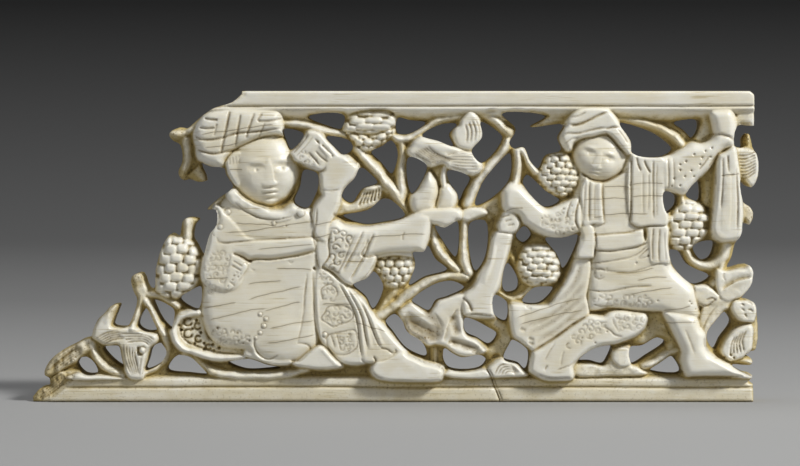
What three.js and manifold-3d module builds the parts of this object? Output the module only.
import * as THREE from "three";
import { mergeVertices } from "three/addons/utils/BufferGeometryUtils.js";
import Module from "manifold-3d";

// A pierced ivory panel: a flat-backed plank, sawn right through, then carved in relief from the front.
// Millimetres, +Z up, X along the panel, the carved front towards -Y. It stands on its bottom rail.
const wasm = await Module();
wasm.setup();

// Facets narrower than this are merged into their neighbours once all is joined.
const smallestFacet = 0.03;

// Driving sizes. A "front" is how far a form stands out from the flat back.
const plankThickness = 11;
const backY = plankThickness / 2;
const panelHeight = 58.3;
const panelLeft = -68.1;
const panelRight = 68.1;
const vineFront = 6.6;
const leafFront = 9;
const fruitFront = 8.6;
const figureFront = 10.2;
const limbFront = plankThickness;

// The rails: a flat outer band, a groove, a lower inner band and a slope down to the openings.
const railBandWidth = 2.6;
const railGroove = 0.35;
const railGrooveDepth = 0.5;
const railInnerWidth = 1.5;
const railInnerFront = 10.3;
const railSlopeWidth = 0.9;
const railSlopeFront = 8.6;

const ivory = new THREE.MeshStandardMaterial({ color: 0xd9d1ba, roughness: 0.42, metalness: 0 });

// The outer edge of the panel, anticlockwise from the bottom left corner: [x, z].
const rightEdge = [
  [67.3, 0], [67.3, 3.4], [66.3, 3.7], [67.2, 4.9], [65.5, 5.4], [63, 7], [65.5, 6.8], [66.9, 6.9],
  [67.3, 7.4], [66.6, 8.4], [65.3, 8.5], [66.6, 9.4], [67.8, 9.8], [67.9, 17], [67.2, 18.8], [65, 19.5],
  [66.5, 21.6], [67.2, 23.8], [66.4, 25.7], [62.4, 25], [63.3, 27.2], [64, 30.1], [64.8, 32], [65, 33.9],
  [66.4, 33.3], [67.2, 34.8], [66.6, 36.5], [65.1, 37.6], [64.5, 41.9], [66.7, 40.3], [67.9, 41.7],
  [68.1, 44], [67.8, 46.5], [67.3, 47.2], [66.9, 49.2], [66.3, 50.4], [65.4, 49.3], [65.4, 47.8],
  [63.4, 48.1], [63.9, 51.8], [67.2, 51.8], [67, 57.6], [66.2, 58.3],
];
const brokenTopLeft = [
  [-28.6, 58.3], [-28.6, 57.6], [-30.4, 56.2], [-33.6, 55.2], [-35.6, 54], [-37.2, 52.8], [-39, 51.3],
  [-40.5, 51.5], [-42.3, 50.4], [-41.8, 49.1], [-40.4, 48.3], [-39.9, 45.2], [-40.7, 43.1], [-39.8, 41.6],
  [-38.6, 41.8], [-36.8, 41.3], [-35.5, 41.6], [-36.6, 44.9], [-34.5, 44.2], [-32, 43.9], [-31.7, 42.6],
  [-30.3, 40.4], [-33, 38.3], [-35.3, 36.1], [-33.5, 36.2], [-33.3, 33.4], [-34.6, 31.6], [-35.3, 29.2],
];
const brokenLeft = [
  [-36, 27.3], [-37.4, 29.7], [-38, 30.6], [-37.7, 33.2], [-36.9, 34.3], [-39.2, 34.5], [-40, 33.6],
  [-40.6, 30.9], [-42, 31.6], [-43.6, 29.3], [-44.9, 24.8], [-45.1, 21.3], [-46.3, 21.2], [-47.6, 24.1],
  [-49.4, 23.5], [-49.2, 21.1], [-48.4, 19.2], [-49.3, 15.8], [-50.3, 14.2], [-53.1, 14.4], [-52, 18.2],
  [-53.4, 18], [-56, 15.3], [-57.4, 12.4], [-60, 10.8], [-64.2, 8.6], [-66, 5.4], [-65.2, 3.4],
  [-67, 2.2], [-68.1, 0.9],
];
const outerEdge = [[panelLeft, 0], ...rightEdge, ...brokenTopLeft, ...brokenLeft];

// The openings sawn through the plank, each a closed smooth loop of [x, z].
const openings = {
  underLeftFragment: [[-60, 7], [-58.8, 8.4], [-57, 7.6], [-56, 5.3], [-58.4, 5.1]],
  leftFragmentToLeaf: [[-55, 10.1], [-52, 10.4], [-51.3, 8], [-51, 6.4], [-53.1, 7.6]],
  leafToVineTop: [[-46.8, 17.6], [-48.4, 14.4], [-47, 13.2], [-44.8, 13.4], [-45.4, 15.2]],
  leafToVineLow: [[-45.8, 10], [-44.2, 11], [-42.9, 9.4], [-44.2, 7.1], [-47, 5.9], [-46.4, 8]],
  belowGrapesLeft: [[-45.5, 19.1], [-41.7, 17.4], [-42, 13.6], [-43.6, 14.9], [-45, 17.4]],
  grapesToBody: [[-40.6, 19.2], [-37.2, 17.2], [-36.3, 19], [-36.5, 21.6], [-38.6, 20.8]],
  belowSeatLeft: [[-41, 8.6], [-38.6, 8.5], [-36.8, 7], [-35.3, 5], [-39, 5.1], [-43, 5.8]],
  belowSeatRight: [[-31.6, 7.3], [-28.5, 5.9], [-24.6, 5.9], [-20.8, 6.5], [-24, 6.9], [-27.5, 8.1]],
  railAboveVine: [[-16.4, 53.5], [-12.6, 51.8], [-10.1, 51.3], [-9.5, 53.7], [-12.6, 54.3]],
  turbanToCup: [[-21, 51.2], [-17, 50.2], [-19.6, 47.3], [-20.5, 48.9]],
  cupToGrapes: [[-13, 49.8], [-8.8, 49.2], [-7.9, 47.7], [-9.6, 46.4], [-11.4, 47.8]],
  faceToForearm: [
    [-17.2, 43.5], [-14.6, 42.9], [-14.3, 41], [-15, 38.8], [-16.6, 36.3], [-19, 37.4], [-18, 40.4],
  ],
  forearmToBranch: [
    [-6.5, 44], [-4.4, 42.6], [-3.3, 41.1], [-6.2, 39.9], [-8.2, 37.3], [-10, 38.4], [-9.4, 40.1],
    [-7.6, 42],
  ],
  sleeveToTrunk: [
    [-9.9, 34.9], [-5, 36.1], [-2.4, 38.1], [-0.6, 37.8], [1.9, 34.9], [-2.6, 33.6], [-6, 33.3],
  ],
  branchFork: [[-0.7, 49.1], [0.5, 47], [-0.1, 43.6], [-0.7, 42.8], [-2.7, 45], [-4.5, 46.9], [-2.5, 48]],
  trunkToFruit: [[2.6, 46], [5.9, 44.5], [5.8, 43], [3.2, 39], [2.2, 42.4]],
  railAboveFork: [[0.5, 53.3], [2.8, 52.9], [5.8, 52.4], [2.6, 50.3], [0.4, 50.5]],
  threeLobeLeafTop: [[5, 50], [8.6, 52.1], [11.7, 52.1], [10.2, 50.2], [11, 48], [8, 49]],
  rightOfThreeLobeLeaf: [[16, 52.6], [19.1, 51], [20.3, 49.5], [16.3, 44.8], [14.3, 47.1], [16.3, 49.8]],
  fruitToStrut: [[9.9, 43.5], [14.1, 42.1], [12.9, 39.4], [12.1, 37.7], [11.5, 39.4], [10, 41.6]],
  strutToBranch: [[21.6, 46.7], [21.7, 42], [18.6, 38.4], [15.1, 36.8], [16.2, 40.8], [18.6, 44.1]],
  belowRailMiddle: [
    [19.9, 54.1], [22.7, 51.2], [21.4, 48.6], [22.4, 47.5], [24.1, 47.8], [25.3, 45.2], [27, 43.7],
    [28.4, 46.2], [31.4, 47.2], [30.7, 49.6], [31.8, 52], [25.4, 51.6], [28.5, 53.6],
  ],
  handToLeftBud: [[7.5, 33.2], [9.3, 32.8], [11.7, 34], [11.5, 27], [9.6, 29.2]],
  vineToSleeve: [[14.2, 33.7], [17.1, 33.9], [17.1, 27.2], [15.2, 24.4], [13.9, 28.8]],
  cuffToVine: [
    [3.3, 28.2], [5.4, 28.3], [6.1, 29.4], [7.6, 26.8], [9.9, 24.7], [5.6, 23.3], [2.6, 21.7],
    [3.8, 25.8],
  ],
  skirtToGrapes: [[-8, 22], [-5.2, 23.4], [-4, 24.5], [-2.2, 21.6], [-4.2, 17.2], [-5.5, 19.5]],
  vineToBigLeaf: [
    [3.1, 18.9], [7, 21.9], [10.6, 22.7], [13.1, 21.3], [10, 19.6], [7.7, 18.8], [6.4, 16.9], [4.4, 17.8],
  ],
  skirtToBigLeaf: [
    [-1.8, 15], [-0.2, 16.4], [1.3, 15.4], [2.2, 13.3], [5.2, 11.1], [5.9, 8.3], [2.2, 9.7], [-0.4, 12.9],
  ],
  bigLeafToWeb: [[13.1, 15.8], [17, 14.2], [19.2, 12.6], [17.8, 10.6], [15.4, 11.8], [13.3, 12.9]],
  belowBigLeaf: [
    [9.3, 10], [9.1, 7.9], [10.2, 6.1], [15.9, 6.1], [17.2, 7.7], [15.6, 8.9], [12.6, 8.3], [10.8, 9.1],
  ],
  sleeveToCloak: [[18.5, 20.1], [21.1, 18.6], [20.9, 15], [18.7, 16.2]],
  tearDrop: [[21, 26.1], [23.2, 22.9], [22.9, 20.9], [20.9, 20.5], [20.1, 22.3]],
  grapesToCloak: [[23.9, 18.7], [26, 21.4], [29.9, 21.3], [27.3, 18.4]],
  drilledRound: [[24.3, 33], [25.7, 31.3], [24.2, 29.8], [22.7, 31.3]],
  belowForearm: [[28.2, 30.8], [31.2, 30.9], [34.5, 31.4], [33.4, 27.4], [31.7, 24.9], [30.4, 27.7]],
  grapesToForearm: [[24, 41.2], [24.8, 42.6], [28.5, 39.5], [31.1, 37.7], [28.3, 36.5], [25.6, 38.6]],
  vineToShoulder: [
    [41.9, 52.3], [46.8, 51.3], [50, 49.7], [52.3, 47.4], [50, 46], [44.3, 46.7], [44, 49.1],
  ],
  railToRaisedArm: [[52.3, 52.4], [56.9, 52.9], [57, 50.9], [55.8, 49.5], [54.2, 51]],
  vestToStem: [[50.1, 39.5], [52.7, 38.9], [52.8, 36.9], [50.8, 35.4]],
  stemToSleeve: [[54.5, 39.2], [57, 41.8], [57.3, 37.7], [55.2, 38.2]],
  belowRightGrapes: [[56, 29.4], [60.1, 30.1], [59.5, 27.2], [58, 26.5], [56.7, 27.4]],
  skirtToLoop: [
    [51.3, 28.5], [51.8, 26.2], [53.8, 23.5], [56.6, 21.9], [59.5, 23.4], [55.2, 25.7], [53.4, 28.3],
  ],
  legToRightLeaf: [[58.4, 12.6], [60.2, 15.5], [61.8, 17], [63.4, 15], [61.4, 11.8], [60.2, 9.7]],
  bootToRail: [[34.3, 7.6], [36.7, 9.9], [40.8, 10.5], [40, 7.9], [39.2, 6.9], [36.8, 7.4]],
  stumpToLeg: [[44, 10.1], [46.4, 10.5], [49.3, 12], [51, 11.1], [47.6, 8.5], [44.6, 6.9]],
  besideHeel: [[48, 5.8], [50, 7.4], [52, 8.5], [53.9, 5.3]],
  leafToCloak: [[20.4, 8], [21.5, 10.8], [22, 11.6], [25.1, 9.4], [24.6, 5.8], [23.2, 7]],
};

// Raised forms, each a closed outline of [x, z] with the front it reaches and the width of its rounded edge.
const forms = [
  // The seated drinker.
  { front: limbFront, edge: 0.9, outline: [
    [-38, 49.5], [-36.5, 53], [-33, 55.4], [-21, 55.4], [-20.8, 50], [-25, 49.4], [-30, 46.8],
    [-31.5, 43.6], [-37, 44.8],
  ] },
  { front: figureFront, edge: 0.9, outline: [
    [-32, 39.5], [-36, 27], [-36.6, 18], [-34.5, 10.8], [-28, 9.4], [-20, 6.8], [-15, 9.5], [-14.6, 25],
    [-12.6, 31], [-15, 36.8], [-19, 37.6], [-22, 38],
  ] },
  { front: limbFront, edge: 0.8, outline: [
    [-35, 31.4], [-33.4, 33], [-31, 30.3], [-23, 30.8], [-14.6, 31], [-14.6, 28.2], [-21, 26.9],
    [-27.5, 26.6], [-28.4, 21.3], [-35, 21.6], [-36.2, 26.5],
  ] },
  { front: limbFront, edge: 0.7, outline: [
    [-16.3, 36.3], [-14.6, 40], [-14.8, 43], [-11.8, 46], [-9.5, 46.6], [-6.5, 44], [-10, 39],
    [-12.2, 32.4], [-16, 31],
  ] },
  { front: figureFront, edge: 0.4, outline: [
    [-16.3, 51], [-13.5, 50.3], [-10.1, 46.5], [-12.2, 44.8], [-14.2, 43.1], [-17.5, 44.8], [-19.9, 46.2],
  ] },
  { front: limbFront, edge: 0.8, outline: [
    [-14.6, 31], [-11.4, 34.6], [-6, 33], [0, 33.9], [5, 36.2], [12.2, 36.4], [12.4, 34.4], [8.7, 32.6],
    [6.8, 33.2], [5.4, 28.1], [-3.4, 27.4], [-5.4, 23.2], [-9, 21.6], [-14.4, 25.8],
  ] },
  { front: figureFront, edge: 0.7, outline: [
    [-11, 23], [-8, 21.8], [-4, 17], [0, 12], [2.6, 9.4], [-3, 9.6], [-6.5, 7], [-11, 6.8], [-14.6, 10.5],
    [-15.2, 25],
  ] },
  { front: limbFront, edge: 0.6, outline: [
    [-18.5, 7.4], [-15, 10.6], [-13.4, 11], [-10, 6.8], [-14, 6.4],
  ] },
  { front: limbFront, edge: 0.6, outline: [
    [-4.6, 6], [-2.5, 8.8], [1.5, 9.3], [8, 7.1], [9, 5.6], [8, 4.3], [-3, 4.3],
  ] },
  { front: leafFront, edge: 0.6, outline: [
    [-37, 17.3], [-40.6, 16.6], [-42.2, 13.6], [-40.2, 9.5], [-36, 8], [-30, 7.6], [-28, 10], [-34, 11],
    [-36.4, 14],
  ] },
  // The dancer.
  { front: limbFront, edge: 0.8, outline: [
    [32.6, 47.2], [30.5, 49.4], [33.2, 54.8], [40, 55.4], [44.3, 48.4], [43.6, 46.2], [40.3, 49.3],
    [35, 49.3],
  ] },
  { front: figureFront, edge: 0.8, outline: [
    [34.6, 43.4], [38, 42.4], [44, 46.6], [50, 46.2], [50.2, 39], [50.9, 31], [52, 25], [56.2, 22],
    [57, 16.5], [53, 15.6], [48, 16.9], [37, 17.2], [36, 26.5], [35.2, 34], [33.4, 38.6],
  ] },
  { front: limbFront, edge: 0.8, outline: [
    [49, 46.2], [53, 47.4], [57, 48.4], [59.4, 50], [59, 54.8], [62.8, 55.1], [64, 52], [63.2, 47.9],
    [60.5, 46.4], [57, 42], [54.4, 39.1], [49, 39.6],
  ] },
  { front: limbFront, edge: 0.8, outline: [
    [20, 40], [22, 41.1], [24.5, 39.8], [28.3, 36.3], [31, 37.2], [33.6, 38.4], [35.4, 35], [34.8, 31.6],
    [29, 30.8], [24, 33.4], [20.2, 36],
  ] },
  { front: figureFront, edge: 0.4, outline: [
    [19, 32.2], [20.4, 35.8], [21.6, 36.1], [23.3, 33.8], [22, 31.8],
  ] },
  { front: figureFront, edge: 0.5, outline: [
    [19, 32.2], [21.9, 31.8], [21, 27.4], [18.5, 19.6], [18.6, 16], [12, 16.2], [13, 20.4], [16, 24.6],
    [17.6, 29],
  ] },
  { front: limbFront, edge: 0.8, outline: [
    [60.2, 46.4], [63.4, 48], [64.6, 41.5], [65.2, 34], [64.2, 30.3], [60, 30.4], [59.2, 33], [59.8, 41],
  ] },
  { front: limbFront, edge: 0.4, outline: [
    [33.5, 27.2], [36.8, 27], [37.3, 32], [35.2, 33.6], [33.7, 28.6],
  ] },
  { front: leafFront, edge: 0.5, outline: [
    [21.3, 18.4], [28.4, 18.4], [31.6, 21.6], [33.2, 27], [36.5, 27], [36.2, 16.5], [32, 13.4],
    [25.6, 9.6], [22, 13],
  ] },
  { front: figureFront, edge: 0.8, outline: [
    [31, 12.6], [36.3, 16.6], [43, 17.2], [47.2, 16.4], [45.4, 12.8], [40, 10.9], [36, 9.8], [33.3, 7],
    [33.4, 4.4], [28.5, 4.2], [25, 5], [25.4, 9.4],
  ] },
  { front: limbFront, edge: 0.8, outline: [
    [50, 17], [53.3, 10.4], [54.2, 4.8], [66.8, 4.8], [58.5, 9.7], [57.4, 13.4], [56.4, 16.6],
  ] },
  // Leaves and fruit.
  { front: leafFront, edge: 0.6, outline: [
    [-52.4, 18.2], [-56, 15], [-57.4, 12.4], [-52, 10.5], [-50.2, 4.6], [-47.2, 4.3], [-46.3, 9.6],
    [-44, 11.6], [-46, 13.4], [-50, 14.3], [-53, 14.4],
  ] },
  { front: leafFront, edge: 0.5, outline: [
    [-64, 4.4], [-65.8, 6], [-64, 8.8], [-58, 11.8], [-56.6, 8], [-60, 7],
  ] },
  { front: leafFront, edge: 0.6, outline: [
    [2.4, 47.4], [4.9, 49.8], [11, 48], [14, 47], [16.2, 44.6], [14.8, 42.7], [9.6, 43.9], [5.4, 44.6],
  ] },
  { front: leafFront, edge: 0.6, outline: [
    [11, 47.6], [10.2, 50.2], [14.8, 54.9], [16.3, 50], [14.2, 46.8],
  ] },
  { front: leafFront, edge: 0.8, outline: [[6.6, 43.4], [2.9, 38], [3.2, 35.8], [7.6, 36.4], [8.3, 40]] },
  { front: leafFront, edge: 0.8, outline: [
    [9.8, 42.4], [8.2, 40], [7.8, 36.4], [11.9, 36.4], [11.3, 39.9],
  ] },
  { front: fruitFront, edge: 0.5, outline: [
    [-2.4, 41], [-6, 40], [-8, 37.4], [-10.4, 38.2], [-11, 35], [-3.4, 36.8],
  ] },
  { front: leafFront, edge: 0.7, outline: [
    [0.8, 16.6], [3.4, 18.4], [6.4, 16.7], [8.3, 19.3], [13, 20.4], [12, 16.2], [10, 10.6], [5.8, 10.7],
    [2, 13.2],
  ] },
  { front: leafFront, edge: 0.7, outline: [
    [12, 16.2], [9.2, 10.2], [12.6, 8.2], [16.9, 9.2], [15, 12.4], [13.6, 14.6],
  ] },
  { front: fruitFront, edge: 0.5, outline: [
    [62.4, 25], [66.4, 25.9], [67.3, 23.6], [64.6, 19.4], [60.2, 15.4], [58.2, 12.4], [56.8, 18.4],
    [56, 22], [60, 22.4],
  ] },
  { front: leafFront, edge: 0.5, outline: [
    [62.4, 18.6], [65, 19.7], [68, 18.4], [68, 9.6], [65, 8], [62, 8], [61, 9.8], [63.4, 13.6],
    [66.4, 14.6], [63.6, 16],
  ] },
  { front: leafFront, edge: 0.5, outline: [
    [63.8, 48], [68, 46.8], [68.2, 42.8], [66.8, 40.2], [64.4, 42.2],
  ] },
  { front: leafFront, edge: 0.5, outline: [
    [33.4, 7], [39, 6.9], [40.6, 9.8], [44, 10], [44.6, 6.9], [47.4, 5.2], [34.4, 5],
  ] },
  { front: leafFront, edge: 0.5, outline: [[17.4, 6.6], [19.8, 8.2], [22.6, 7.4], [25, 5], [17.8, 4.8]] },
];

// Grape bunches: a low cushion of the bunch's outline with berries standing on it in staggered rows.
const berryPitch = 1.8;
const berryRadius = 1.1;
const berryTopFront = 9.8;
const grapeBunches = [
  [
    [-45.1, 21], [-44.6, 26], [-42.6, 31], [-41, 31.2], [-37.6, 29.6], [-36, 26], [-37, 21.8],
    [-41, 19.5],
  ],
  [[-9.8, 51], [-9, 53.8], [-5, 55], [-0.8, 54.8], [0.4, 52], [-1, 49.3], [-5, 46.9], [-8.4, 49.3]],
  [[-4.1, 26], [-3.2, 28.2], [3.4, 28.3], [3.8, 25.6], [1.8, 22], [-1.8, 21.4]],
  [[23, 27], [24.2, 29.4], [28.8, 29.4], [31.2, 25], [30, 22], [25, 21.8], [22.8, 24.2]],
  [[27.8, 44], [29, 46.7], [32, 46.6], [34.8, 43], [33.8, 39.6], [30.6, 38.3], [27.4, 40.6], [26, 42.6]],
  [[53.4, 38], [57, 37.4], [58.8, 34.6], [58, 30.8], [54, 28.2], [51.2, 29], [50.7, 34.8]],
];

// The heads under the turbans, as egg shapes: centre, half width, half height and lean in degrees.
const heads = [
  { x: -24.6, z: 43.6, halfWidth: 6.6, halfHeight: 7, lean: 6 },
  { x: 38.3, z: 46.6, halfWidth: 5.5, halfHeight: 4.6, lean: -24 },
];
const headHalfDepth = 4.6;

// Folds, turns of cloth and leaf veins: single gouge cuts, each [x, z] to [x, z], widest in the middle.
const gougeHalfWidth = 0.3;
const gougeDepth = 0.5;
const turbanAndSleeveCuts = [
  [-37.4, 50, -22, 51.4], [-36.6, 47.2, -30, 47.3], [-31, 54.6, -32.3, 47], [-26.4, 54, -28, 49.8],
  [33, 52.2, 39.6, 54.2], [39, 50.8, 43.4, 46.4], [-24, 28.9, -15.6, 29.4], [-5, 32, -9, 22.8],
  [-7.4, 31, -11.4, 24], [61.1, 46, 61, 38], [63.8, 43, 64, 33], [58.6, 46.2, 56.6, 43.6],
  [54.6, 13, 57.6, 8],
];
const robeCuts = [
  [-23, 36, -20, 32], [-35, 15.4, -25, 17.6], [-35.4, 18.2, -18, 21.7], [-24, 14.4, -16, 15.2],
  [-16.4, 24.5, -18.2, 11.4], [-9.8, 21.4, -6.4, 8.6], [-8, 20.6, -1.2, 10.4], [-6.6, 19, -2.6, 11.6],
  [36.3, 41, 36, 34.4], [38, 42, 38.6, 34], [44.1, 45.8, 44, 34.6], [46.4, 45.8, 46.2, 35.4],
  [48.4, 44.6, 48.2, 34.4], [48.2, 32, 48.4, 26.4], [37.6, 28.7, 47, 30], [37.4, 31.3, 44, 31.8],
  [37, 21, 48, 22.1], [14, 23, 12.8, 17.2],
];
const leafCuts = [
  [-55.6, 13.2, -46, 12.2], [-50, 9.6, -48.6, 5.4], [4.6, 48.6, 13, 44.8], [5.4, 46.4, 14.4, 43.8],
  [12.2, 49.6, 14.4, 53.4], [14, 48.8, 15.2, 52.4], [3, 17, 10.6, 13.4], [11.6, 15, 12.4, 9.6],
  [27, 16.4, 35.4, 20.6], [25.4, 12.6, 35.6, 18], [63.4, 12.6, 63.6, 9.2], [64.8, 13.2, 64.6, 9.6],
  [64.4, 46.2, 67.2, 46.4], [64.6, 44.2, 67.4, 44.8], [64.8, 42.6, 67, 43.2], [61.8, 21.4, 66.8, 23.4],
];

// A closed smooth loop through hand-placed points, with a few steps between each two.
function smoothLoop(points, steps) {
  const knots = points.map(([x, z]) => new THREE.Vector3(x, z, 0));
  const curve = new THREE.CatmullRomCurve3(knots, true, "centripetal");
  return curve.getPoints(points.length * steps).slice(0, -1).map((p) => new THREE.Vector2(p.x, p.y));
}

// Turns a closed triangle mesh into a solid that can be joined and cut.
function toSolid(geometry) {
  geometry.deleteAttribute("normal");
  geometry.deleteAttribute("uv");
  const merged = mergeVertices(geometry, 1e-4);
  const vertProperties = new Float32Array(merged.attributes.position.array);
  const triVerts = new Uint32Array(merged.index.array);
  return new wasm.Manifold(new wasm.Mesh({ numProp: 3, vertProperties, triVerts }));
}

// A straight-sided block over an outline in the plane of the panel, between two distances from the back.
function block(outline, from, to, edge = 0) {
  const shape = new THREE.Shape(outline);
  const geometry = new THREE.ExtrudeGeometry(shape, {
    depth: to - from - 2 * edge,
    bevelEnabled: edge > 0,
    bevelThickness: edge,
    bevelSize: edge,
    bevelOffset: -edge,
    bevelSegments: 1,
  });
  geometry.translate(0, 0, from + edge);
  geometry.rotateX(Math.PI / 2);
  geometry.translate(0, backY, 0);
  return toSolid(geometry);
}

// A raised form starts behind the flat back, so that only its front edge is rounded once the back is trimmed.
function raisedForm({ outline, front, edge }) {
  return block(smoothLoop(outline, 1), -edge - 1, front, edge);
}

// A rail is one section drawn across the panel and drawn out along it; the bottom rail is the top one mirrored.
function rail(outerZ, inward) {
  const bandEnd = railBandWidth;
  const innerStart = bandEnd + railGroove;
  const innerEnd = innerStart + railInnerWidth;
  const slopeEnd = innerEnd + railSlopeWidth;
  const section = [
    [0, 0],
    [plankThickness, 0],
    [plankThickness, bandEnd],
    [railInnerFront - railGrooveDepth, bandEnd + railGroove / 2],
    [railInnerFront, innerStart],
    [railInnerFront, innerEnd],
    [railSlopeFront, slopeEnd],
    [0, slopeEnd],
  ].map(([out, across]) => new THREE.Vector2(out, inward * across));
  const geometry = new THREE.ExtrudeGeometry(new THREE.Shape(section), {
    depth: panelRight - panelLeft,
    bevelEnabled: false,
  });
  // Section x runs towards the front (-Y), section y runs up (+Z) and the length runs along X.
  const place = new THREE.Matrix4().set(
    0, 0, 1, panelLeft,
    -1, 0, 0, backY,
    0, 1, 0, outerZ,
    0, 0, 0, 1,
  );
  geometry.applyMatrix4(place);
  turnInsideOut(geometry);
  return toSolid(geometry);
}

// Swaps two corners of every triangle, because the rail's placing mirrors it and leaves them facing inwards.
function turnInsideOut(geometry) {
  const position = geometry.attributes.position;
  const a = new THREE.Vector3();
  const b = new THREE.Vector3();
  for (let i = 0; i < position.count; i += 3) {
    a.fromBufferAttribute(position, i + 1);
    b.fromBufferAttribute(position, i + 2);
    position.setXYZ(i + 1, b.x, b.y, b.z);
    position.setXYZ(i + 2, a.x, a.y, a.z);
  }
}

// A spindle-shaped cut from the front down to a floor.
function gougeCut([x0, z0, x1, z1], floor) {
  const start = new THREE.Vector2(x0, z0);
  const end = new THREE.Vector2(x1, z1);
  const middle = start.clone().lerp(end, 0.5);
  const along = end.clone().sub(start).normalize();
  const side = new THREE.Vector2(-along.y, along.x).multiplyScalar(gougeHalfWidth);
  const outline = [start, middle.clone().sub(side), end, middle.clone().add(side)];
  return block(outline, floor, plankThickness + 1);
}

function isInside([x, z], outline) {
  let inside = false;
  for (let i = 0, j = outline.length - 1; i < outline.length; j = i, i += 1) {
    const [xi, zi] = outline[i];
    const [xj, zj] = outline[j];
    const crosses = zi > z !== zj > z;
    if (crosses && x < ((xj - xi) * (z - zi)) / (zj - zi) + xi) inside = !inside;
  }
  return inside;
}

// Places of berries in staggered rows inside a bunch's outline.
function berryPlaces(outline) {
  const xs = outline.map(([x]) => x);
  const zs = outline.map(([, z]) => z);
  const places = [];
  const rowPitch = berryPitch * 0.88;
  let row = 0;
  for (let z = Math.max(...zs) - berryRadius; z > Math.min(...zs); z -= rowPitch) {
    const shift = row % 2 === 0 ? 0 : berryPitch / 2;
    for (let x = Math.min(...xs) + shift; x < Math.max(...xs); x += berryPitch) {
      if (isInside([x, z], outline)) places.push([x, z]);
    }
    row += 1;
  }
  return places;
}

function grapeBunch(outline) {
  const cushion = raisedForm({ outline, front: fruitFront, edge: 0.5 });
  return berryPlaces(outline).reduce((bunch, [x, z]) => {
    const berry = new THREE.OctahedronGeometry(berryRadius, 0);
    berry.translate(x, backY - berryTopFront + berryRadius, z);
    return bunch.add(toSolid(berry));
  }, cushion);
}

function head({ x, z, halfWidth, halfHeight, lean }) {
  const geometry = new THREE.SphereGeometry(1, 12, 8);
  geometry.scale(halfWidth, headHalfDepth, halfHeight);
  geometry.rotateY(THREE.MathUtils.degToRad(lean));
  geometry.translate(x, backY - limbFront + headHalfDepth, z);
  return toSolid(geometry);
}

function carvePanel() {
  const plank = block(outerEdge.map(([x, z]) => new THREE.Vector2(x, z)), 0, plankThickness);
  const ground = block(outerEdge.map(([x, z]) => new THREE.Vector2(x, z)), 0, vineFront);
  let relief = ground.add(rail(0, 1)).add(rail(panelHeight, -1));
  for (const form of forms) relief = relief.add(raisedForm(form));
  for (const outline of grapeBunches) relief = relief.add(grapeBunch(outline));
  for (const egg of heads) relief = relief.add(head(egg));
  let panel = relief.intersect(plank);
  for (const cut of turbanAndSleeveCuts) panel = panel.subtract(gougeCut(cut, limbFront - gougeDepth));
  for (const cut of robeCuts) panel = panel.subtract(gougeCut(cut, figureFront - gougeDepth));
  for (const cut of leafCuts) panel = panel.subtract(gougeCut(cut, leafFront - gougeDepth));
  for (const outline of Object.values(openings)) {
    panel = panel.subtract(block(smoothLoop(outline, 2), -1, plankThickness + 1));
  }
  return panel.asOriginal().simplify(smallestFacet);
}

function toGeometry(solid) {
  const mesh = solid.getMesh();
  const geometry = new THREE.BufferGeometry();
  geometry.setAttribute("position", new THREE.BufferAttribute(new Float32Array(mesh.vertProperties), 3));
  geometry.setIndex(new THREE.BufferAttribute(new Uint32Array(mesh.triVerts), 1));
  geometry.computeVertexNormals();
  return geometry;
}

const group = new THREE.Group();
const panel = new THREE.Mesh(toGeometry(carvePanel()), ivory);
panel.name = "ivory_panel";
group.add(panel);

export default group;
